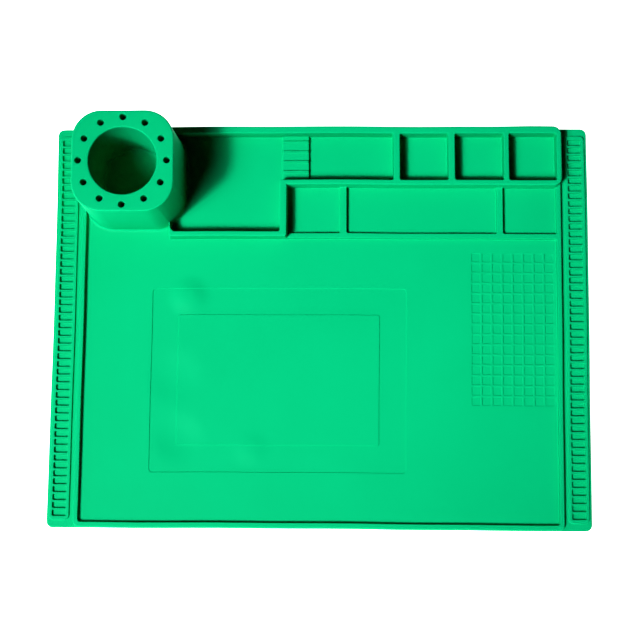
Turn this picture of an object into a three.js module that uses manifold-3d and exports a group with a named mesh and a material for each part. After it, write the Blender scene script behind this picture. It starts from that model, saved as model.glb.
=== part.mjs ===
// A silicone soldering mat, moulded in one piece: a flat sheet with a sunken work field, a block of
// deep trays and a row of shallow trays at its back edge, two slotted strips and a tool column.
// Sizes are in millimetres. X runs along the mat, Y to its back edge and Z up.
// The origin is the middle of the underside.
import * as THREE from 'three';
import * as BufferGeometryUtils from 'three/addons/utils/BufferGeometryUtils.js';
import Module from 'manifold-3d';

// the sheet and its levels
const matLength = 400;
const matDepth = 300;
const matCorner = 4.5;
const stripLevel = 3;
const floorLevel = 2.5;
const recessDepth = 3.3;
const blockRise = 8.2;
const blockCorner = 6;
const softEdge = 0.8;
const edgeInset = 0.6;

// the raised field between the strips, and the sunken work field in it
const stripWidth = 20;
const sideRim = 3.5;
const crossRim = 3.8;
const frontRim = 4.5;
const recessCorner = 2;

// the slotted strips along both ends
const panelWidth = 14.8;
const panelMargin = 1.9;
const panelEndMargin = 5.6;
const panelRise = 1.2;
const panelCorner = 3.5;
const slotCount = 49;
const slotPitch = 5.8;
const slotLength = 10.3;
const slotWidth = 4.4;
const slotDepth = 1.9;

// the trays
const trayDepthY = 35.4;
const trayCorner = 1.2;
const wallDraft = 0.4;
const backRim = 5.2;
const shallowTrays = [
  { left: -24.8, width: 39.8 },
  { left: 19.8, width: 112.2 },
  { left: 136.6, width: 39.8 },
];
const deepTrays = [
  { left: 59.8, width: 36.2 },
  { left: 100.8, width: 36.4 },
  { left: 141, width: 35.4 },
];
const longTrayRight = 55;
const dividerLeft = -30;
const openTrayLeft = -112;
const openTrayCorner = 4.4;
const rimEndWidth = 0.9;

// the rack of low ribs between the open tray and the long tray
const rackLeft = -28.4;
const rackRight = -8.5;
const rackHeight = 2.3;
const ribCount = 4;
const ribPitch = 7.6;
const ribWidth = 1.5;
const ribHeight = 1.3;
const firstRib = 7.9;

// the tool column
const columnX = -139.6;
const columnY = 111.2;
const columnTopWidth = 73.6;
const columnTopCorner = 21.5;
const columnDraft = 1.3;
const columnRise = 63;
const footFlare = 1.8;
const wellRadius = 24.5;
const wellFloor = 3;
const holeCount = 12;
const holeRadius = 2.4;
const holeCircle = 31.9;
const holeDepth = 55;

// the shallow relief in the work field
const gridColumns = 8;
const gridRows = 15;
const gridPitchX = 7.75;
const gridPitchY = 7.67;
const gridSquare = 6.3;
const gridLeft = 113.3;
const gridFront = -58.6;
const gridDepth = 0.5;
const padX = -30.3;
const padY = -40.4;
const padLength = 150;
const padDepth = 97;
const padCorner = 1.5;
const borderWidth = 20;
const borderCorner = 2.5;
const borderDepth = 0.45;

// levels, places and lengths that follow
const fieldLevel = floorLevel + recessDepth;
const blockLevel = fieldLevel + blockRise;
const columnLevel = stripLevel + columnRise;
const panelLevel = stripLevel + panelRise;
const fieldHalf = matLength / 2 - stripWidth;
const backEdge = matDepth / 2 - edgeInset;
const upperBack = matDepth / 2 - edgeInset - backRim;
const upperFront = upperBack - trayDepthY;
const lowerBack = upperFront - crossRim;
const lowerFront = lowerBack - trayDepthY;
const recessBack = lowerFront - crossRim;
const recessFront = -matDepth / 2 + frontRim;
const recessHalf = fieldHalf - sideRim;
const dividerRight = shallowTrays[0].left;
const rimEndLeft = openTrayLeft - rimEndWidth;
const columnFootWidth = columnTopWidth + 2 * columnDraft;
const columnFootCorner = columnTopCorner + columnDraft;
const overlap = 1;
const clear = 2;
const cornerSteps = 4;
const columnSteps = 9;

const wasm = await Module();
wasm.setup();

// one closed body from a closed three.js geometry
function solid(geometry) {
  const bare = geometry.clone();
  bare.deleteAttribute('normal');
  bare.deleteAttribute('uv');
  const merged = BufferGeometryUtils.mergeVertices(bare, 1e-4);
  const mesh = new wasm.Mesh({
    numProp: 3,
    vertProperties: new Float32Array(merged.attributes.position.array),
    triVerts: new Uint32Array(merged.index.array),
  });
  return new wasm.Manifold(mesh);
}

// the outline of a rectangle with round corners, about its own middle
function roundedOutline(width, depth, corner) {
  const x = width / 2 - corner;
  const y = depth / 2 - corner;
  const outline = new THREE.Shape();
  outline.absarc(x, y, corner, 0, Math.PI / 2, false);
  outline.absarc(-x, y, corner, Math.PI / 2, Math.PI, false);
  outline.absarc(-x, -y, corner, Math.PI, 1.5 * Math.PI, false);
  outline.absarc(x, -y, corner, 1.5 * Math.PI, 2 * Math.PI, false);
  return outline;
}

// a prism between two levels; one end can be drawn in by a given amount, so its walls lean
function prism(box, low, high, lean = {}) {
  const width = box.right - box.left;
  const depth = box.back - box.front;
  const geometry = new THREE.ExtrudeGeometry(roundedOutline(width, depth, box.corner), {
    depth: high - low,
    bevelEnabled: false,
    curveSegments: box.steps ?? cornerSteps,
  });
  const coreX = width / 2 - box.corner;
  const coreY = depth / 2 - box.corner;
  const spots = geometry.attributes.position;
  const middle = (high - low) / 2;
  for (let i = 0; i < spots.count; i += 1) {
    const inset = spots.getZ(i) > middle ? lean.top ?? 0 : lean.bottom ?? 0;
    const nearX = THREE.MathUtils.clamp(spots.getX(i), -coreX, coreX);
    const nearY = THREE.MathUtils.clamp(spots.getY(i), -coreY, coreY);
    const scale = 1 - inset / box.corner;
    spots.setX(i, nearX + (spots.getX(i) - nearX) * scale);
    spots.setY(i, nearY + (spots.getY(i) - nearY) * scale);
  }
  geometry.translate((box.left + box.right) / 2, (box.front + box.back) / 2, low);
  return solid(geometry);
}

// a raised prism whose top edge is broken all round
function softPrism(box, low, high, edge) {
  const lower = prism(box, low, high - edge);
  return lower.add(prism(box, high - edge, high, { top: edge }));
}

// a plain box between two corners
function block(left, right, front, back, low, high) {
  const geometry = new THREE.BoxGeometry(right - left, back - front, high - low);
  geometry.translate((left + right) / 2, (front + back) / 2, (low + high) / 2);
  return solid(geometry);
}

// an upright round bar
function bar(x, y, radius, low, high, steps) {
  const geometry = new THREE.CylinderGeometry(radius, radius, high - low, steps);
  geometry.rotateX(Math.PI / 2);
  geometry.translate(x, y, (low + high) / 2);
  return solid(geometry);
}

// the box of a square about the column's axis
function columnBox(width, corner) {
  const half = width / 2;
  return {
    left: columnX - half, right: columnX + half, front: columnY - half, back: columnY + half,
    corner, steps: columnSteps,
  };
}

const matBox = {
  left: -matLength / 2, right: matLength / 2, front: -matDepth / 2, back: matDepth / 2,
  corner: matCorner,
};

function raisedForms() {
  let body = softPrism(matBox, 0, stripLevel, softEdge);
  const field = {
    left: -fieldHalf, right: fieldHalf, front: -backEdge, back: backEdge, corner: matCorner,
  };
  body = body.add(softPrism(field, overlap, fieldLevel, softEdge));
  const upperBlock = {
    left: columnX, right: fieldHalf, front: lowerBack, back: backEdge, corner: blockCorner,
  };
  body = body.add(softPrism(upperBlock, overlap, blockLevel, softEdge));
  const frontBlock = {
    left: rimEndLeft, right: dividerRight, front: recessBack, back: upperBack,
    corner: recessCorner,
  };
  body = body.add(softPrism(frontBlock, overlap, blockLevel, softEdge));
  for (const side of [-1, 1]) {
    const outer = side * (matLength / 2 - panelMargin);
    const inner = outer - side * panelWidth;
    const panel = {
      left: Math.min(outer, inner), right: Math.max(outer, inner),
      front: -matDepth / 2 + panelEndMargin, back: matDepth / 2 - panelEndMargin,
      corner: panelCorner,
    };
    body = body.add(prism(panel, overlap, panelLevel));
  }
  return body;
}

// the sunken fields and trays, cut down to the common floor
function cutPockets(body) {
  const recess = {
    left: -recessHalf, right: recessHalf, front: recessFront, back: recessBack,
    corner: recessCorner,
  };
  let cut = prism(recess, floorLevel, fieldLevel + clear);
  const recessBehind = { ...recess, right: rimEndLeft, back: columnY };
  cut = cut.add(prism(recessBehind, floorLevel, fieldLevel + clear));
  for (const tray of shallowTrays) {
    const box = {
      left: tray.left, right: tray.left + tray.width, front: lowerFront, back: lowerBack,
      corner: trayCorner,
    };
    cut = cut.add(prism(box, floorLevel, fieldLevel + clear));
  }
  for (const tray of deepTrays) {
    const box = {
      left: tray.left, right: tray.left + tray.width, front: upperFront, back: upperBack,
      corner: trayCorner,
    };
    cut = cut.add(prism(box, floorLevel, blockLevel, { bottom: wallDraft }));
  }
  const longTray = {
    left: dividerLeft - 2 * trayCorner, right: longTrayRight, front: upperFront,
    back: upperBack, corner: trayCorner,
  };
  const openTray = {
    left: openTrayLeft + openTrayCorner, right: dividerLeft, front: lowerFront,
    back: upperBack, corner: trayCorner,
  };
  // beside the column the open tray ends in rounder corners
  const openTrayEnd = {
    ...openTray, left: openTrayLeft, right: openTrayLeft + 3 * openTrayCorner,
    corner: openTrayCorner,
  };
  cut = cut.add(prism(longTray, floorLevel, blockLevel, { bottom: wallDraft }));
  cut = cut.add(prism(openTray, floorLevel, blockLevel, { bottom: wallDraft }));
  cut = cut.add(prism(openTrayEnd, floorLevel, blockLevel, { bottom: wallDraft }));
  return body.subtract(cut);
}

function rack() {
  const top = floorLevel + rackHeight;
  let body = block(rackLeft, rackRight, upperFront - overlap, upperBack + overlap, overlap, top);
  for (let i = 0; i < ribCount; i += 1) {
    const y = upperFront + firstRib + i * ribPitch;
    const low = top - overlap;
    const rib = block(rackLeft, rackRight, y - ribWidth / 2, y + ribWidth / 2, low, top + ribHeight);
    body = body.add(rib);
  }
  return body;
}

function column() {
  const foot = columnBox(columnFootWidth, columnFootCorner);
  const shaftTop = columnLevel - softEdge;
  const top = columnBox(columnTopWidth, columnTopCorner);
  const flare = columnBox(columnFootWidth + 2 * footFlare, columnFootCorner + footFlare);
  const flareTop = floorLevel + footFlare;
  let body = prism(foot, overlap, shaftTop, { top: columnDraft });
  body = body.add(prism(top, shaftTop, columnLevel, { top: softEdge }));
  const skirt = prism(flare, floorLevel - overlap, flareTop, { top: footFlare });
  body = body.add(skirt.intersect(prism(matBox, 0, columnLevel)));
  return body;
}

function cutColumn(body) {
  let cut = bar(columnX, columnY, wellRadius, wellFloor, columnLevel + clear, 48);
  for (let i = 0; i < holeCount; i += 1) {
    const turn = (i / holeCount) * 2 * Math.PI;
    const x = columnX + holeCircle * Math.sin(turn);
    const y = columnY + holeCircle * Math.cos(turn);
    cut = cut.add(bar(x, y, holeRadius, columnLevel - holeDepth, columnLevel + clear, 10));
  }
  return body.subtract(cut);
}

// the rows of slots in both strips
function slots() {
  const cuts = [];
  const x = matLength / 2 - panelMargin - panelWidth / 2;
  for (let i = 0; i < slotCount; i += 1) {
    const y = (i - (slotCount - 1) / 2) * slotPitch;
    for (const side of [-1, 1]) {
      const left = side * x - slotLength / 2;
      const front = y - slotWidth / 2;
      const low = panelLevel - slotDepth;
      cuts.push(block(left, left + slotLength, front, front + slotWidth, low, panelLevel + clear));
    }
  }
  return wasm.Manifold.union(cuts);
}

// the pad of small squares, and the shallow border round the drawing pad
function relief() {
  const cuts = [];
  for (let column = 0; column < gridColumns; column += 1) {
    for (let row = 0; row < gridRows; row += 1) {
      const left = gridLeft + column * gridPitchX;
      const front = gridFront + row * gridPitchY;
      const low = floorLevel - gridDepth;
      cuts.push(block(left, left + gridSquare, front, front + gridSquare, low, floorLevel + clear));
    }
  }
  const pad = {
    left: padX - padLength / 2, right: padX + padLength / 2,
    front: padY - padDepth / 2, back: padY + padDepth / 2, corner: padCorner,
  };
  const border = {
    left: pad.left - borderWidth, right: pad.right + borderWidth,
    front: pad.front - borderWidth, back: pad.back + borderWidth, corner: borderCorner,
  };
  const ring = prism(border, floorLevel - borderDepth, floorLevel + clear);
  cuts.push(ring.subtract(prism(pad, 0, floorLevel + 2 * clear)));
  return wasm.Manifold.union(cuts);
}

let mat = cutPockets(raisedForms());
mat = mat.add(rack());
mat = cutColumn(mat.add(column()));
mat = mat.subtract(slots());
mat = mat.subtract(relief());

const result = mat.getMesh();
const geometry = new THREE.BufferGeometry();
geometry.setAttribute('position', new THREE.BufferAttribute(result.vertProperties, 3));
geometry.setIndex(new THREE.BufferAttribute(result.triVerts, 1));
geometry.computeVertexNormals();

const silicone = new THREE.MeshStandardMaterial({ color: 0x0ccf7d, roughness: 0.6, metalness: 0 });
const mesh = new THREE.Mesh(geometry, silicone);
mesh.name = 'soldering_mat';

const model = new THREE.Group();
model.name = 'mat';
model.add(mesh);

export default model;
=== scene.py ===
import math

import bmesh
import bpy
import numpy as np
from mathutils import Matrix, Vector, geometry


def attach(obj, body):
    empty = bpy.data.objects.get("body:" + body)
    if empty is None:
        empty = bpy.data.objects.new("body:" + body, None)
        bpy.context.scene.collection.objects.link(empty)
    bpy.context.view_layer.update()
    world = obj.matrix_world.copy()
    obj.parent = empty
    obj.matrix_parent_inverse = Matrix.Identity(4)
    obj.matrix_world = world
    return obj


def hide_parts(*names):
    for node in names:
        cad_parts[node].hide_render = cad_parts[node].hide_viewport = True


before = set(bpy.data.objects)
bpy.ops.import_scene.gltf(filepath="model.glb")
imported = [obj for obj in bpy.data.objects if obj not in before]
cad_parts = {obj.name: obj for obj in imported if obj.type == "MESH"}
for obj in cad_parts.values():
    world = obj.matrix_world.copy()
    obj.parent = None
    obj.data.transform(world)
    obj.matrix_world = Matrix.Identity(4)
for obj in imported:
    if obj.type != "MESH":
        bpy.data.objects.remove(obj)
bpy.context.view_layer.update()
print("frame loaded")

# One moulded silicone mat. Everything about its shape is in millimetres here
# and turned to metres when a mesh is made.
millimetre = 0.001

matShape = {
    "length": 400.0,
    "depth": 300.0,
    "corner": 4.5,
    "stripLevel": 3.0,
    "panelLevel": 4.2,
    "floorLevel": 2.5,
    "fieldLevel": 5.8,
    "blockLevel": 14.0,
    "columnLevel": 66.0,
    "rackLevel": 4.8,
    "ribLevel": 6.1,
    "borderLevel": 2.05,
    "wellLevel": 3.0,
    "edgeRadius": 0.8,
    "pointSpacing": 9.0,
    "flatSpacing": 13.0,
    "looseMargin": 1.0,
    "weld": 0.01,
    "sharpAngle": 42.0,
    "normalWeight": 60,
}
halfLength = matShape["length"] / 2
halfDepth = matShape["depth"] / 2

slotShape = {
    "rows": 49,
    "pitch": 5.8,
    "length": 10.3,
    "width": 4.4,
    "corner": 1.0,
    "depth": 1.9,
    "centreX": 190.7,
    "edge": 0.3,
    "lean": 0.12,
    "cove": 0.35,
}

squareShape = {
    "columns": 8,
    "rows": 15,
    "pitchX": 7.75,
    "pitchY": 7.67,
    "size": 6.3,
    "corner": 0.6,
    "left": 113.3,
    "front": -58.6,
    "depth": 0.5,
    "edge": 0.15,
    "lean": 0.08,
    "cove": 0.2,
}

holeShape = {
    "count": 12,
    "circle": 31.9,
    "radius": 2.35,
    "depth": 55.0,
    "edge": 0.45,
    "lean": 0.3,
    "cove": 0.8,
    "x": -139.6,
    "y": 111.2,
}

# how far the soft moulding strays from true, in millimetres
softShape = {
    "sideways": 0.22,
    "upward": 0.12,
    "leftBow": 0.4,
    "backBulge": 0.7,
    "bulgeX": 158.0,
    "bulgeWidth": 20.0,
    "longWave": 310.0,
    "shortWave": 97.0,
    "phases": (0.6, 2.1, 1.9, 0.4, 1.0),
    "liftFrom": 1.0,
    "liftOver": 10.0,
}


def box(left, right, front, back, corner, steps=5):
    return {"left": left, "right": right, "front": front, "back": back,
            "corner": corner, "steps": steps}


def squareBox(x, y, width, corner, steps):
    half = width / 2
    return box(x - half, x + half, y - half, y + half, corner, steps)


# Points round a box with round corners, the same number at every offset. With
# noExtraPoints as the spacing, a straight side has only its ends.
noExtraPoints = math.inf


def ringPoints(shape, offset, spacing):
    corner = shape["corner"] + offset
    middleX = (shape["left"] + shape["right"]) / 2
    middleY = (shape["front"] + shape["back"]) / 2
    coreX = (shape["right"] - shape["left"]) / 2 - shape["corner"]
    coreY = (shape["back"] - shape["front"]) / 2 - shape["corner"]
    points = []
    signs = [(1, 1), (-1, 1), (-1, -1), (1, -1)]
    for quarter, (signX, signY) in enumerate(signs):
        centreX = middleX + signX * coreX
        centreY = middleY + signY * coreY
        for step in range(shape["steps"] + 1):
            angle = (quarter + step / shape["steps"]) * math.pi / 2
            points.append((centreX + corner * math.cos(angle), centreY + corner * math.sin(angle)))
        straight = 2 * (coreX if quarter % 2 == 0 else coreY)
        if straight < 1e-6:
            points.pop()
            continue
        parts = max(1, round(straight / spacing))
        lastX, lastY = points[-1]
        nextX, nextY = signs[(quarter + 1) % 4]
        endX = middleX + nextX * coreX + (0 if quarter % 2 == 0 else corner * signX)
        endY = middleY + nextY * coreY + (corner * signY if quarter % 2 == 0 else 0)
        for part in range(1, parts):
            share = part / parts
            points.append((lastX + (endX - lastX) * share, lastY + (endY - lastY) * share))
    return points


# signed distance to the same outline, negative inside
def distanceTo(shape, x, y):
    middleX = (shape["left"] + shape["right"]) / 2
    middleY = (shape["front"] + shape["back"]) / 2
    pastX = np.abs(x - middleX) - (shape["right"] - shape["left"]) / 2 + shape["corner"]
    pastY = np.abs(y - middleY) - (shape["back"] - shape["front"]) / 2 + shape["corner"]
    outside = np.hypot(np.maximum(pastX, 0), np.maximum(pastY, 0))
    inside = np.minimum(np.maximum(pastX, pastY), 0)
    return outside + inside - shape["corner"]


# A wall seen in section: a round top edge, a leaning wall and a round foot.
# away is the distance from the top edge towards the foot.
def wallSection(away, top, foot, wall):
    edge, lean, cove = wall
    room = np.clip((top - foot) / (edge + cove), 0, 1)
    edgeDrop = edge * room
    coveRise = cove * room
    crownPart = np.clip((away + edge) / edge, 0, 1)
    crown = top - edgeDrop * (1 - np.sqrt(1 - crownPart ** 2))
    wallPart = np.clip(away / lean, 0, 1)
    leaning = (top - edgeDrop) + (foot + coveRise - top + edgeDrop) * wallPart
    covePart = np.clip((lean + cove - away) / cove, 0, 1)
    rounded = foot + coveRise * (1 - np.sqrt(1 - covePart ** 2))
    section = np.where(away <= 0, crown, np.where(away <= lean, leaning, rounded))
    return np.where(away >= lean + cove, foot, section)


def raiseForm(height, distance, top, wall):
    section = wallSection(distance, np.full_like(height, top), height, wall)
    return np.where(top > height, np.maximum(height, section), height)


def sinkForm(height, distance, floor, wall):
    section = wallSection(-distance, height, np.full_like(height, floor), wall)
    return np.where(height > floor, np.minimum(height, section), height)


# the offsets at which a wall section bends, outwards from its top edge
def sectionOffsets(wall, steps=3):
    edge, lean, cove = wall
    offsets = [-edge * (1 - math.sin(math.pi / 2 * i / steps)) for i in range(steps + 1)]
    offsets += [lean + cove * (1 - math.cos(math.pi / 2 * i / steps)) for i in range(steps + 1)]
    return offsets


# (edge radius, lean, foot radius) of each kind of wall
walls = {
    "panel": (0.45, 0.06, 0.35),
    "field": (0.9, 0.12, 0.45),
    "recess": (0.45, 0.15, 0.6),
    "block": (1.0, 0.3, 0.8),
    "deepTray": (0.6, 0.4, 0.8),
    "rack": (0.5, 0.1, 0.4),
    "rib": (0.5, 0.08, 0.4),
    "column": (1.1, 1.3, 2.4),
    "well": (1.0, 0.3, 1.6),
    "border": (0.15, 0.08, 0.2),
}

# the two rows of trays along the back, with the rims between them
trayShape = {
    "upperBack": 144.2,
    "upperFront": 108.8,
    "lowerBack": 105.0,
    "lowerFront": 69.6,
    "rightEnd": 176.4,
    "corner": 1.2,
    "cornerBesideColumn": 4.4,
    "rimLeft": -112.9,
    "rimRight": -24.8,
    "blockCorner": 6.0,
}

fieldShape = {
    "right": 180.0,
    "back": 149.4,
    "recessRight": 176.5,
    "recessFront": -145.5,
    "recessBack": 65.8,
    "recessCorner": 2.0,
}

panelShape = {
    "outer": 198.1,
    "inner": 183.3,
    "end": 144.4,
    "corner": 3.5,
}

rackShape = {
    "left": -28.4,
    "right": -8.5,
    "sunk": 1.5,
    "ribs": 4,
    "firstRib": 116.7,
    "ribPitch": 7.6,
    "ribWidth": 1.5,
    "ribShort": 0.2,
    "corner": 0.6,
}

columnShape = {
    "width": 73.6,
    "corner": 21.5,
    "wellRadius": 24.5,
}

upperBack = trayShape["upperBack"]
upperFront = trayShape["upperFront"]
lowerBack = trayShape["lowerBack"]
lowerFront = trayShape["lowerFront"]
columnX = holeShape["x"]
columnY = holeShape["y"]


def upperTray(left, right):
    return box(left, right, upperFront, upperBack, trayShape["corner"], 3)


def lowerTray(left, right, back=lowerBack):
    return box(left, right, lowerFront, back, trayShape["corner"], 3)


def recessBox(right, back):
    return box(-fieldShape["recessRight"], right, fieldShape["recessFront"], back,
               fieldShape["recessCorner"])


def panelBox(left, right):
    return box(left, right, -panelShape["end"], panelShape["end"], panelShape["corner"])


def ribBox(number):
    middle = rackShape["firstRib"] + rackShape["ribPitch"] * number
    half = rackShape["ribWidth"] / 2
    return box(rackShape["left"] + rackShape["ribShort"], rackShape["right"] - rackShape["ribShort"],
               middle - half, middle + half, rackShape["corner"], 3)


matBox = box(-halfLength, halfLength, -halfDepth, halfDepth, matShape["corner"])
panels = [panelBox(-panelShape["outer"], -panelShape["inner"]),
          panelBox(panelShape["inner"], panelShape["outer"])]
fieldBox = box(-fieldShape["right"], fieldShape["right"], -fieldShape["back"], fieldShape["back"],
               matShape["corner"])
recesses = [recessBox(fieldShape["recessRight"], fieldShape["recessBack"]),
            recessBox(trayShape["rimLeft"], columnY)]
shallowTrays = [lowerTray(trayShape["rimRight"], 15.0), lowerTray(19.8, 132.0),
                lowerTray(136.6, trayShape["rightEnd"])]
blocks = [box(columnX, fieldShape["right"], lowerBack, fieldShape["back"], trayShape["blockCorner"]),
          box(trayShape["rimLeft"], trayShape["rimRight"], fieldShape["recessBack"], upperBack,
              fieldShape["recessCorner"])]
# the open tray, its rounder end beside the column, and the long tray that runs into it
joinedTrays = [lowerTray(-107.6, -30.0, upperBack),
               box(-112.0, -98.8, lowerFront, upperBack, trayShape["cornerBesideColumn"]),
               upperTray(-38.0, 55.0)]
deepTrays = [upperTray(59.8, 96.0), upperTray(100.8, 137.2), upperTray(141.0, trayShape["rightEnd"])]
rackBox = box(rackShape["left"], rackShape["right"], upperFront - rackShape["sunk"],
              upperBack + rackShape["sunk"], rackShape["corner"], 2)
ribs = [ribBox(i) for i in range(rackShape["ribs"])]
columnBox = squareBox(columnX, columnY, columnShape["width"], columnShape["corner"], 24)
wellBox = squareBox(columnX, columnY, 2 * columnShape["wellRadius"], columnShape["wellRadius"], 16)
padBox = box(-105.3, 44.7, -88.9, 8.1, 1.5)
borderBox = box(-125.3, 64.7, -108.9, 28.1, 2.5)

# one opening of each repeated kind, about its own middle
slotBox = box(-slotShape["length"] / 2, slotShape["length"] / 2,
              -slotShape["width"] / 2, slotShape["width"] / 2, slotShape["corner"], 3)
squareTile = squareBox(0, 0, squareShape["size"], squareShape["corner"], 2)
holeTile = squareBox(0, 0, 2 * holeShape["radius"], holeShape["radius"], 4)


def heightAt(x, y):
    shape = matShape
    height = np.full_like(x, shape["stripLevel"])
    edge = shape["edgeRadius"]
    inEdge = np.clip((distanceTo(matBox, x, y) + edge) / edge, 0, 1)
    height -= edge * (1 - np.sqrt(1 - inEdge ** 2))
    for panel in panels:
        height = raiseForm(height, distanceTo(panel, x, y), shape["panelLevel"], walls["panel"])
    height = raiseForm(height, distanceTo(fieldBox, x, y), shape["fieldLevel"], walls["field"])
    recess = np.minimum(distanceTo(recesses[0], x, y), distanceTo(recesses[1], x, y))
    height = sinkForm(height, recess, shape["floorLevel"], walls["recess"])
    for tray in shallowTrays:
        height = sinkForm(height, distanceTo(tray, x, y), shape["floorLevel"], walls["recess"])
    block = np.minimum(distanceTo(blocks[0], x, y), distanceTo(blocks[1], x, y))
    height = raiseForm(height, block, shape["blockLevel"], walls["block"])
    joined = np.minimum.reduce([distanceTo(tray, x, y) for tray in joinedTrays])
    height = sinkForm(height, joined, shape["floorLevel"], walls["deepTray"])
    for tray in deepTrays:
        height = sinkForm(height, distanceTo(tray, x, y), shape["floorLevel"], walls["deepTray"])
    height = raiseForm(height, distanceTo(rackBox, x, y), shape["rackLevel"], walls["rack"])
    for rib in ribs:
        height = raiseForm(height, distanceTo(rib, x, y), shape["ribLevel"], walls["rib"])
    height = raiseForm(height, distanceTo(columnBox, x, y), shape["columnLevel"], walls["column"])
    height = sinkForm(height, distanceTo(wellBox, x, y), shape["wellLevel"], walls["well"])
    ring = np.maximum(distanceTo(borderBox, x, y), -distanceTo(padBox, x, y))
    return sinkForm(height, ring, shape["borderLevel"], walls["border"])


slotCentres = [(side * slotShape["centreX"], (i - (slotShape["rows"] - 1) / 2) * slotShape["pitch"])
               for side in (-1, 1) for i in range(slotShape["rows"])]
squareHalf = squareShape["size"] / 2
squareMiddle = (
    squareShape["left"] + squareHalf + squareShape["pitchX"] * (squareShape["columns"] - 1) / 2,
    squareShape["front"] + squareHalf + squareShape["pitchY"] * (squareShape["rows"] - 1) / 2)
squareCentres = [
    (squareShape["left"] + squareHalf + column * squareShape["pitchX"],
     squareShape["front"] + squareHalf + row * squareShape["pitchY"])
    for column in range(squareShape["columns"]) for row in range(squareShape["rows"])]
holeCentres = [(columnX + holeShape["circle"] * math.cos(i * 2 * math.pi / holeShape["count"]),
                columnY + holeShape["circle"] * math.sin(i * 2 * math.pi / holeShape["count"]))
               for i in range(holeShape["count"])]


# The forms that run under the column stop at the foot of its leaning wall.
def outsideColumn(point):
    return distanceTo(columnBox, *point) > walls["column"][1]


def meetColumn(start, end, halvings=24):
    outer, inner = Vector(start), Vector(end)
    for _ in range(halvings):
        middle = (outer + inner) / 2
        if outsideColumn(middle):
            outer = middle
        else:
            inner = middle
    return tuple(outer)


# The upper surface is one triangulated sheet. Rings of points follow every
# edge, wall and foot, and the openings that repeat are left out of it.
def makeUpperSurface():
    points = []
    edges = []

    def addRing(ring, isWhole=False):
        free = [isWhole or outsideColumn(point) for point in ring]
        index = {}
        for i, point in enumerate(ring):
            if free[i]:
                index[i] = len(points)
                points.append(point)
        for i in range(len(ring)):
            j = (i + 1) % len(ring)
            if free[i] and free[j]:
                edges.append((index[i], index[j]))
            elif free[i] or free[j]:
                near, far = (i, j) if free[i] else (j, i)
                edges.append((index[near], len(points)))
                points.append(meetColumn(ring[near], ring[far]))

    spacing = matShape["pointSpacing"]
    for offset in [0.0] + [-matShape["edgeRadius"] * (1 - math.sin(math.pi / 6 * i)) for i in range(3)]:
        addRing(ringPoints(matBox, offset, spacing))
    raised = [(panels, "panel"), ([fieldBox], "field"), (blocks, "block"), ([rackBox], "rack"),
              (ribs, "rib"), ([columnBox], "column"), ([padBox], "border")]
    sunk = [(recesses, "recess"), (shallowTrays, "recess"), (joinedTrays, "deepTray"),
            (deepTrays, "deepTray"), ([wellBox], "well"), ([borderBox], "border")]
    for shapes, wall in raised:
        for shape in shapes:
            for offset in sectionOffsets(walls[wall]):
                addRing(ringPoints(shape, offset, spacing), wall == "column")
    for shapes, wall in sunk:
        for shape in shapes:
            for offset in sectionOffsets(walls[wall]):
                addRing(ringPoints(shape, -offset, spacing), wall == "well")
    openings = [(slotBox, slotShape, slotCentres), (squareTile, squareShape, squareCentres),
                (holeTile, holeShape, holeCentres)]
    for shape, sizes, centres in openings:
        mouth = ringPoints(shape, sizes["edge"], noExtraPoints)
        for centreX, centreY in centres:
            addRing([(centreX + x, centreY + y) for x, y in mouth], True)

    # loose points keep the triangles of the flats small enough to bend
    step = matShape["flatSpacing"]
    margin = matShape["looseMargin"]
    for i in range(int(matShape["length"] / step) + 1):
        for j in range(int(matShape["depth"] / step) + 1):
            x = (i + 0.5) * step - halfLength
            y = (j + 0.5) * step - halfDepth
            if abs(x) < halfLength - margin and abs(y) < halfDepth - margin:
                points.append((x, y))

    # only what lies on the mat counts, the rest of a ring is cut off by the sheet's own edge
    spots, _, faces, *_ = geometry.delaunay_2d_cdt([Vector(p) for p in points], edges, [], 0, 1e-5)
    x = np.array([spot.x for spot in spots], dtype=float)
    y = np.array([spot.y for spot in spots], dtype=float)
    corners = np.array([list(face) for face in faces])
    midX = x[corners].mean(axis=1)
    midY = y[corners].mean(axis=1)
    keep = distanceTo(matBox, midX, midY) < 1e-4
    for shape, sizes, centres in openings:
        for centreX, centreY in centres:
            keep &= distanceTo(shape, midX - centreX, midY - centreY) > sizes["edge"]
    corners = corners[keep]
    turn = (x[corners[:, 1]] - x[corners[:, 0]]) * (y[corners[:, 2]] - y[corners[:, 0]]) \
        - (y[corners[:, 1]] - y[corners[:, 0]]) * (x[corners[:, 2]] - x[corners[:, 0]])
    corners[turn < 0] = corners[turn < 0][:, ::-1]
    return np.stack([x, y, heightAt(x, y)], axis=1), corners


def meshFrom(name, points, faces):
    mesh = bpy.data.meshes.new(name)
    mesh.from_pydata([tuple(p) for p in points], [], [tuple(int(i) for i in face) for face in faces])
    mesh.update()
    return mesh


# the rings of one repeated opening, from its mouth down to its floor
def makeOpening(name, shape, sizes, level, steps):
    wall = (sizes["edge"], sizes["lean"], sizes["cove"])
    offsets = sectionOffsets(wall, steps)
    top = np.full(len(offsets), level)
    heights = wallSection(np.array(offsets), top, top - sizes["depth"], wall)
    points = []
    faces = []
    for offset, height in zip(offsets, heights):
        points.extend((x, y, height) for x, y in ringPoints(shape, -offset, noExtraPoints))
    count = len(points) // len(offsets)
    for ring in range(len(offsets) - 1):
        for i in range(count):
            after = (i + 1) % count
            faces.append((ring * count + i, ring * count + after,
                          (ring + 1) * count + after, (ring + 1) * count + i))
    faces.append(range((len(offsets) - 1) * count, len(offsets) * count))
    scaled = np.array(points) * millimetre
    tile = bpy.data.objects.new(name, meshFrom(name, scaled, faces))
    bpy.context.scene.collection.objects.link(tile)
    return tile


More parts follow.
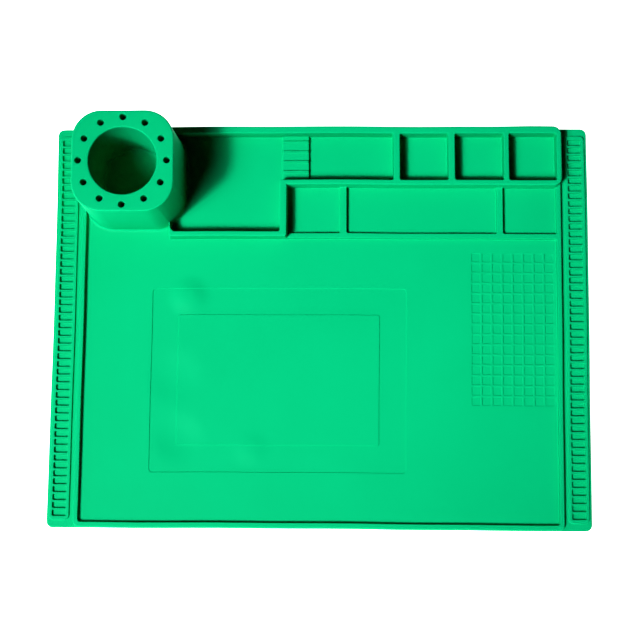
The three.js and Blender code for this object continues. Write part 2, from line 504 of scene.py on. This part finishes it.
def addNode(tree, kind, settings=None, links=None):
    node = tree.nodes.new(kind)
    for key, value in (settings or {}).items():
        setattr(node, key, value)
    for socket, value in (links or {}).items():
        if isinstance(value, bpy.types.NodeSocket):
            tree.links.new(value, node.inputs[socket])
        else:
            node.inputs[socket].default_value = value
    return node


# Puts a tile on a grid or a circle of points and welds it to the surface.
def makeArrayTree(name, isCircle):
    tree = bpy.data.node_groups.new(name, "GeometryNodeTree")
    sockets = tree.interface
    sockets.new_socket("Geometry", in_out="INPUT", socket_type="NodeSocketGeometry")
    sockets.new_socket("Tile", in_out="INPUT", socket_type="NodeSocketObject")
    sockets.new_socket("Centre", in_out="INPUT", socket_type="NodeSocketVector")
    if isCircle:
        sockets.new_socket("Count", in_out="INPUT", socket_type="NodeSocketInt")
        sockets.new_socket("Radius", in_out="INPUT", socket_type="NodeSocketFloat")
    else:
        sockets.new_socket("Columns", in_out="INPUT", socket_type="NodeSocketInt")
        sockets.new_socket("Rows", in_out="INPUT", socket_type="NodeSocketInt")
        sockets.new_socket("Span X", in_out="INPUT", socket_type="NodeSocketFloat")
        sockets.new_socket("Span Y", in_out="INPUT", socket_type="NodeSocketFloat")
    sockets.new_socket("Weld", in_out="INPUT", socket_type="NodeSocketFloat")
    sockets.new_socket("Material", in_out="INPUT", socket_type="NodeSocketMaterial")
    sockets.new_socket("Geometry", in_out="OUTPUT", socket_type="NodeSocketGeometry")
    given = addNode(tree, "NodeGroupInput").outputs
    if isCircle:
        spots = addNode(tree, "GeometryNodeMeshCircle", {"fill_type": "NONE"},
                        {"Vertices": given["Count"], "Radius": given["Radius"]})
    else:
        spots = addNode(tree, "GeometryNodeMeshGrid", None,
                        {"Size X": given["Span X"], "Size Y": given["Span Y"],
                         "Vertices X": given["Columns"], "Vertices Y": given["Rows"]})
    placed = addNode(tree, "GeometryNodeTransform", None,
                     {"Geometry": spots.outputs["Mesh"], "Translation": given["Centre"]})
    tile = addNode(tree, "GeometryNodeObjectInfo", None, {"Object": given["Tile"]})
    tiles = addNode(tree, "GeometryNodeInstanceOnPoints", None,
                    {"Points": placed.outputs["Geometry"], "Instance": tile.outputs["Geometry"]})
    joined = addNode(tree, "GeometryNodeJoinGeometry", None, {"Geometry": given["Geometry"]})
    tree.links.new(tiles.outputs["Instances"], joined.inputs["Geometry"])
    real = addNode(tree, "GeometryNodeRealizeInstances", None,
                   {"Geometry": joined.outputs["Geometry"]})
    welded = addNode(tree, "GeometryNodeMergeByDistance", None,
                     {"Geometry": real.outputs["Geometry"], "Distance": given["Weld"]})
    coloured = addNode(tree, "GeometryNodeSetMaterial", None,
                       {"Geometry": welded.outputs["Geometry"], "Material": given["Material"]})
    result = addNode(tree, "NodeGroupOutput")
    tree.links.new(coloured.outputs["Geometry"], result.inputs["Geometry"])
    return tree


def addArray(piece, tree, values):
    modifier = piece.modifiers.new(tree.name, "NODES")
    modifier.node_group = tree
    for item in tree.interface.items_tree:
        if item.in_out == "INPUT" and item.name in values:
            modifier[item.identifier] = values[item.name]


def toLinear(code):
    channels = [int(code[i:i + 2], 16) / 255 for i in (1, 3, 5)]
    return tuple(c / 12.92 if c <= 0.04045 else ((c + 0.055) / 1.055) ** 2.4 for c in channels)


# Green silicone rubber, moulded against a fine-blasted steel tool. The eye gets
# an even, saturated colour, a soft satin sheen and a faint grain up close.
siliconeLook = {
    "colour": "#00AA76",
    "shadeColour": "#00A471",
    "roughness": 0.55,
    "roughnessRange": 0.05,
    "specular": 0.06,
    "grainSize": 0.35,
    "grainDepth": 0.012,
    "cloudSize": 60.0,
    "waveSize": 45.0,
    "waveDepth": 0.05,
    # (centre, radius, rise) of the swellings left where the sheet was folded
    "swellings": [((-98.0, 22.0, 2.5), 19.0, 1.4), ((-104.0, -84.0, 2.5), 24.0, -1.0),
                  ((-50.0, -92.0, 2.5), 17.0, 0.6), ((-108.0, -38.0, 2.5), 27.0, -0.8)],
}


def makeSilicone(look):
    material = bpy.data.materials.new("silicone")
    material.use_nodes = True
    tree = material.node_tree
    shader = tree.nodes["Principled BSDF"]
    place = addNode(tree, "ShaderNodeTexCoord").outputs["Object"]
    clouds = addNode(tree, "ShaderNodeTexNoise", None, {
        "Vector": place, "Scale": 1 / (look["cloudSize"] * millimetre), "Detail": 3.0,
        "Roughness": 0.5})
    grain = addNode(tree, "ShaderNodeTexNoise", None, {
        "Vector": place, "Scale": 1 / (look["grainSize"] * millimetre), "Detail": 2.0,
        "Roughness": 0.6})
    waves = addNode(tree, "ShaderNodeTexNoise", None, {
        "Vector": place, "Scale": 1 / (look["waveSize"] * millimetre), "Detail": 1.0,
        "Roughness": 0.4})
    tint = addNode(tree, "ShaderNodeMix", {"data_type": "RGBA"}, {
        0: clouds.outputs["Fac"], 6: (*toLinear(look["shadeColour"]), 1),
        7: (*toLinear(look["colour"]), 1)})
    gloss = addNode(tree, "ShaderNodeMapRange", None, {
        "Value": clouds.outputs["Fac"], "From Min": 0.3, "From Max": 0.7,
        "To Min": look["roughness"] - look["roughnessRange"],
        "To Max": look["roughness"] + look["roughnessRange"]})
    wavy = addNode(tree, "ShaderNodeBump", None, {
        "Height": waves.outputs["Fac"], "Distance": look["waveDepth"] * millimetre,
        "Strength": 1.0})
    grainy = addNode(tree, "ShaderNodeBump", None, {
        "Height": grain.outputs["Fac"], "Distance": look["grainDepth"] * millimetre,
        "Strength": 1.0, "Normal": wavy.outputs["Normal"]})
    normal = grainy.outputs["Normal"]
    for centre, radius, rise in look["swellings"]:
        away = addNode(tree, "ShaderNodeVectorMath", {"operation": "DISTANCE"}, {
            0: place, 1: tuple(value * millimetre for value in centre)})
        swelling = addNode(tree, "ShaderNodeMapRange", {"interpolation_type": "SMOOTHERSTEP"}, {
            "Value": away.outputs["Value"], "From Min": 0.0, "From Max": radius * millimetre,
            "To Min": 1.0, "To Max": 0.0})
        swollen = addNode(tree, "ShaderNodeBump", None, {
            "Height": swelling.outputs["Result"], "Distance": rise * millimetre,
            "Strength": 1.0, "Normal": normal})
        normal = swollen.outputs["Normal"]
    tree.links.new(tint.outputs[2], shader.inputs["Base Color"])
    tree.links.new(gloss.outputs["Result"], shader.inputs["Roughness"])
    tree.links.new(normal, shader.inputs["Normal"])
    shader.inputs["Specular IOR Level"].default_value = look["specular"]
    return material


# The mat is soft, so its edges wander a little and its rims aren't dead level.
def soften(points):
    x, y, z = points[:, 0], points[:, 1], points[:, 2]
    long = 2 * math.pi / softShape["longWave"]
    short = 2 * math.pi / softShape["shortWave"]
    side = softShape["sideways"]
    phase = softShape["phases"]
    lift = softShape["upward"] * np.clip((z - softShape["liftFrom"]) / softShape["liftOver"], 0, 1)
    bow = softShape["leftBow"] * np.clip(-x / halfLength, 0, 1) ** 4
    bow *= np.cos(y * math.pi / matShape["depth"])
    sway = side * np.sin(y * long + phase[0]) + side / 3 * np.sin(y * short + phase[1])
    points[:, 0] = x + bow + sway
    bulge = softShape["backBulge"] * np.clip(y / halfDepth, 0, 1) ** 12
    bulge *= np.exp(-((x - softShape["bulgeX"]) / softShape["bulgeWidth"]) ** 2)
    sway = side * np.sin(x * long + phase[2]) + side / 2 * np.sin(x * short + phase[3])
    points[:, 1] = y + bulge + sway
    points[:, 2] = z + lift * (np.sin(x * short + phase[4]) + 0.5 * np.sin(x * long * 5 + y * short))
    return points


def makeMat(material):
    points, faces = makeUpperSurface()
    print("upper surface:", len(points), "points", len(faces), "triangles")
    used = np.unique(faces)
    order = np.full(len(points), -1)
    order[used] = np.arange(len(used))
    points = points[used]
    faces = order[faces]

    # the side wall and the flat underside close the sheet
    rim = ringPoints(matBox, 0.0, matShape["pointSpacing"])
    lookup = {(round(p[0], 3), round(p[1], 3)): i for i, p in enumerate(points)}
    rimIndex = [lookup[(round(float(np.float32(x)), 3), round(float(np.float32(y)), 3))] for x, y in rim]
    base = len(points)
    count = len(rim)
    points = np.vstack([points, [(x, y, 0.0) for x, y in rim]])
    sides = [(rimIndex[(i + 1) % count], rimIndex[i], base + i, base + (i + 1) % count)
             for i in range(count)]
    under = [tuple(base + i for i in range(count))[::-1]]
    allFaces = [tuple(face) for face in faces] + sides + under
    mesh = meshFrom("matSurface", points * millimetre, allFaces)
    surface = bpy.data.objects.new("matSurface", mesh)
    bpy.context.scene.collection.objects.link(surface)

    slotTile = makeOpening("slotTile", slotBox, slotShape, matShape["panelLevel"], 2)
    squareTileObject = makeOpening("squareTile", squareTile, squareShape, matShape["floorLevel"], 2)
    holeTileObject = makeOpening("holeTile", holeTile, holeShape, matShape["columnLevel"], 3)
    gridTree = makeArrayTree("gridOfOpenings", False)
    circleTree = makeArrayTree("circleOfOpenings", True)
    weld = matShape["weld"] * millimetre
    addArray(surface, gridTree, {
        "Tile": slotTile, "Columns": 2, "Rows": slotShape["rows"],
        "Span X": 2 * slotShape["centreX"] * millimetre,
        "Span Y": (slotShape["rows"] - 1) * slotShape["pitch"] * millimetre,
        "Centre": (0.0, 0.0, 0.0), "Weld": weld, "Material": material})
    addArray(surface, gridTree, {
        "Tile": squareTileObject, "Columns": squareShape["columns"], "Rows": squareShape["rows"],
        "Span X": (squareShape["columns"] - 1) * squareShape["pitchX"] * millimetre,
        "Span Y": (squareShape["rows"] - 1) * squareShape["pitchY"] * millimetre,
        "Centre": (squareMiddle[0] * millimetre, squareMiddle[1] * millimetre, 0.0),
        "Weld": weld, "Material": material})
    addArray(surface, circleTree, {
        "Tile": holeTileObject, "Count": holeShape["count"],
        "Radius": holeShape["circle"] * millimetre,
        "Centre": (columnX * millimetre, columnY * millimetre, 0.0),
        "Weld": weld, "Material": material})
    evaluated = surface.evaluated_get(bpy.context.evaluated_depsgraph_get())
    welded = bpy.data.meshes.new_from_object(evaluated)
    for spare in (surface, slotTile, squareTileObject, holeTileObject):
        bpy.data.objects.remove(spare)

    coords = np.empty(len(welded.vertices) * 3)
    welded.vertices.foreach_get("co", coords)
    coords = coords.reshape(-1, 3) / millimetre
    welded.vertices.foreach_set("co", (soften(coords) * millimetre).ravel())
    body = bmesh.new()
    body.from_mesh(welded)
    bmesh.ops.dissolve_degenerate(body, dist=1e-7, edges=body.edges)
    openEdges = [edge for edge in body.edges if not edge.is_manifold]
    print("mat:", len(body.verts), "points", len(body.faces), "faces", len(openEdges), "open edges")
    for face in body.faces:
        face.smooth = True
    for edge in body.edges:
        if edge.is_manifold and edge.calc_face_angle() > math.radians(matShape["sharpAngle"]):
            edge.smooth = False
    body.to_mesh(welded)
    body.free()
    piece = bpy.data.objects.new("siliconeMat", welded)
    bpy.context.scene.collection.objects.link(piece)
    weighting = piece.modifiers.new("weights", "WEIGHTED_NORMAL")
    weighting.mode = "FACE_AREA"
    weighting.weight = matShape["normalWeight"]
    weighting.keep_sharp = True
    ready = piece.evaluated_get(bpy.context.evaluated_depsgraph_get())
    finished = bpy.data.meshes.new_from_object(ready)
    piece.modifiers.clear()
    piece.data = finished
    finished.name = "siliconeMat"
    finished.materials.clear()
    finished.materials.append(material)
    return piece


silicone = makeSilicone(siliconeLook)
mat = makeMat(silicone)
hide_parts("soldering_mat")
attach(mat, "root")
print("mat built")

# a plain pale floor just under the mat, which glows so that no shadow shows on it
floorLook = {
    "size": 40.0,
    "colour": "#F8F8F6",
    "roughness": 0.75,
    "specular": 0.2,
    "glow": 1.0,
    "gap": 0.0002,
}


def makeFloor(look):
    half = look["size"] / 2
    mesh = meshFrom("floor", [(-half, -half, 0), (half, -half, 0), (half, half, 0), (-half, half, 0)],
                    [(0, 1, 2, 3)])
    floor = bpy.data.objects.new("floor", mesh)
    floor.location.z = -look["gap"]
    bpy.context.scene.collection.objects.link(floor)
    material = bpy.data.materials.new("floor")
    material.use_nodes = True
    shader = material.node_tree.nodes["Principled BSDF"]
    shader.inputs["Base Color"].default_value = (*toLinear(look["colour"]), 1)
    shader.inputs["Roughness"].default_value = look["roughness"]
    shader.inputs["Specular IOR Level"].default_value = look["specular"]
    shader.inputs["Emission Color"].default_value = (1, 1, 1, 1)
    shader.inputs["Emission Strength"].default_value = look["glow"]
    mesh.materials.append(material)
    return floor


makeFloor(floorLook)

# One large softbox from the front left, a soft spot from the same place that makes
# the middle of the mat the brightest part, and a low strip light for the front faces.
# The floor's glow and a trace of sky are the only other light.
lightLook = {
    "place": (-1.73, -1.42, 3.0),
    "target": (-0.015, 0.0, 0.0),
    "boxSize": 1.65,
    "boxPower": 116.0,
    "spotSize": 0.65,
    "spotPower": 980.0,
    "spotAngle": 9.2,
    "stripPlace": (-0.35, -2.4, 0.17),
    "stripTarget": (-0.1, 0.0, 0.04),
    "stripSize": (1.6, 0.26),
    "stripPower": 14.0,
    "fill": 0.005,
}


def addLamp(name, kind, place, target, power):
    data = bpy.data.lights.new(name, kind)
    data.energy = power
    lamp = bpy.data.objects.new(name, data)
    lamp.location = place
    away = Vector(place) - Vector(target)
    lamp.rotation_euler = away.to_track_quat("Z", "Y").to_euler()
    bpy.context.scene.collection.objects.link(lamp)
    return data


def makeLights(look):
    softbox = addLamp("softbox", "AREA", look["place"], look["target"], look["boxPower"])
    softbox.shape = "DISK"
    softbox.size = look["boxSize"]
    spot = addLamp("softSpot", "SPOT", look["place"], look["target"], look["spotPower"])
    spot.shadow_soft_size = look["spotSize"] / 2
    spot.spot_size = math.radians(look["spotAngle"])
    spot.spot_blend = 1.0
    strip = addLamp("stripLight", "AREA", look["stripPlace"], look["stripTarget"], look["stripPower"])
    strip.shape = "RECTANGLE"
    strip.size, strip.size_y = look["stripSize"]
    world = bpy.data.worlds.new("studio")
    world.use_nodes = True
    background = world.node_tree.nodes["Background"]
    background.inputs["Color"].default_value = (1, 1, 1, 1)
    background.inputs["Strength"].default_value = look["fill"]
    bpy.context.scene.world = world


makeLights(lightLook)

# the photo's own view, nearly from above
cameraLook = {
    "place": (0.0343, -0.1230, 1.0317),
    "tilt": (7.07, 1.83, 0.42),
    "lens": 78.27,
    "sensor": 36.0,
    "farEnd": 50.0,
}


def makeCamera(look):
    data = bpy.data.cameras.new("camera")
    data.lens = look["lens"]
    data.sensor_width = look["sensor"]
    data.clip_end = look["farEnd"]
    camera = bpy.data.objects.new("camera", data)
    turns = [Matrix.Rotation(math.radians(angle), 4, axis) for angle, axis in zip(look["tilt"], "XYZ")]
    camera.matrix_world = Matrix.Translation(look["place"]) @ turns[2] @ turns[1] @ turns[0]
    bpy.context.scene.collection.objects.link(camera)
    bpy.context.scene.camera = camera


makeCamera(cameraLook)
bpy.context.scene.view_settings.view_transform = "Standard"
bpy.context.scene.view_settings.look = "High Contrast"
print("lights and camera placed")
